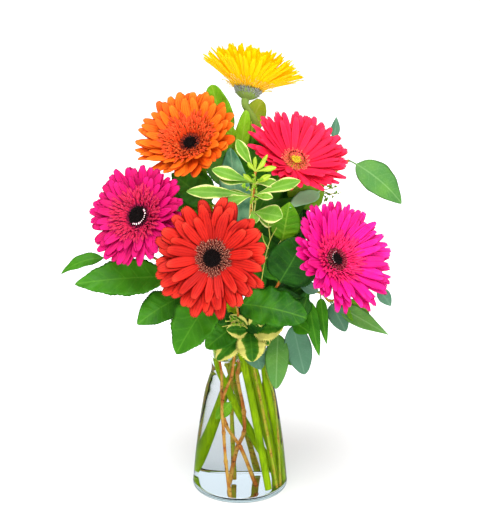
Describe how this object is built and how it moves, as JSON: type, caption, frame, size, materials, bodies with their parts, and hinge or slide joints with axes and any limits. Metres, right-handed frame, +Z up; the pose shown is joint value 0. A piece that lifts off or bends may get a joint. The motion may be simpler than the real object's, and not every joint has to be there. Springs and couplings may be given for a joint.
{
  "type": "gerberas in a vase",
  "caption": "Bouquet of bright gerberas with mixed greens, standing in a clear glass vase with a wide foot and a narrow waist.",
  "frame": {"origin": "centre of the vase's flat underside", "axes": "+Z up, -Y towards the front of the arrangement, +X to its right as the front is seen"},
  "size_m": [0.327, 0.2189, 0.4453],
  "materials": {
    "glass": "polished",
    "gerbera_stem": "satin",
    "yellow_petals": "matte",
    "orange_petals": "matte",
    "coral_petals": "matte",
    "magenta_petals": "matte",
    "red_petals": "matte",
    "hot_pink_petals": "matte",
    "dark_disc": "matte",
    "pale_disc": "matte",
    "bark": "matte",
    "salal_leaf": "satin",
    "pittosporum_leaf": "satin",
    "eucalyptus_leaf": "matte",
    "variegated_leaf": "satin"
  },
  "bodies": {
    "root": {"vase": "glass", "yellow_gerbera_stem": "gerbera_stem", "yellow_gerbera_petals": "yellow_petals", "yellow_gerbera_disc": "pale_disc", "orange_gerbera_stem": "gerbera_stem", "orange_gerbera_petals": "orange_petals", "orange_gerbera_disc": "dark_disc", "coral_gerbera_stem": "gerbera_stem", "coral_gerbera_petals": "coral_petals", "coral_gerbera_disc": "pale_disc", "magenta_gerbera_stem": "gerbera_stem", "magenta_gerbera_petals": "magenta_petals", "magenta_gerbera_disc": "dark_disc", "red_gerbera_stem": "gerbera_stem", "red_gerbera_petals": "red_petals", "red_gerbera_disc": "dark_disc", "hot_pink_gerbera_stem": "gerbera_stem", "hot_pink_gerbera_petals": "hot_pink_petals", "hot_pink_gerbera_disc": "dark_disc", "salal_left_twig": "bark", "salal_left_leaf_long": "salal_leaf", "salal_left_leaf_low": "salal_leaf", "salal_left_leaf_small": "salal_leaf", "salal_front_twig": "bark", "salal_front_leaf_under_red": "salal_leaf", "salal_front_leaf_broad": "salal_leaf", "salal_front_leaf_dark": "salal_leaf", "salal_front_leaf_olive": "salal_leaf", "pittosporum_twig": "bark", "pittosporum_leaf_spoon": "pittosporum_leaf", "pittosporum_leaf_upper_left": "pittosporum_leaf", "pittosporum_leaf_top": "pittosporum_leaf", "pittosporum_leaf_right": "pittosporum_leaf", "pittosporum_leaf_low_right": "pittosporum_leaf", "eucalyptus_low_twig": "bark", "eucalyptus_low_leaf_hanging_left": "eucalyptus_leaf", "eucalyptus_low_leaf_hanging_right": "eucalyptus_leaf", "eucalyptus_low_leaf_narrow_left": "eucalyptus_leaf", "eucalyptus_low_leaf_narrow_right": "eucalyptus_leaf", "eucalyptus_low_leaf_long": "eucalyptus_leaf", "eucalyptus_low_leaf_green": "eucalyptus_leaf", "eucalyptus_low_leaf_end": "eucalyptus_leaf", "eucalyptus_high_twig": "bark", "eucalyptus_high_leaf_far_right": "eucalyptus_leaf", "eucalyptus_high_leaf_by_coral": "eucalyptus_leaf", "variegated_twig": "bark", "variegated_leaf_left": "variegated_leaf", "variegated_leaf_front": "variegated_leaf", "variegated_leaf_right": "variegated_leaf", "centre_twig": "bark", "centre_leaf_blue_green": "eucalyptus_leaf", "centre_leaf_by_orange": "salal_leaf", "centre_leaf_top_left": "salal_leaf", "centre_leaf_top_right": "salal_leaf", "centre_leaf_top_middle": "salal_leaf", "salal_back_twig": "bark", "salal_back_leaf_left": "salal_leaf", "salal_back_leaf_right": "salal_leaf", "salal_back_leaf_upper_left": "salal_leaf", "salal_back_leaf_upper_right": "salal_leaf"}
  },
  "joints": []
}
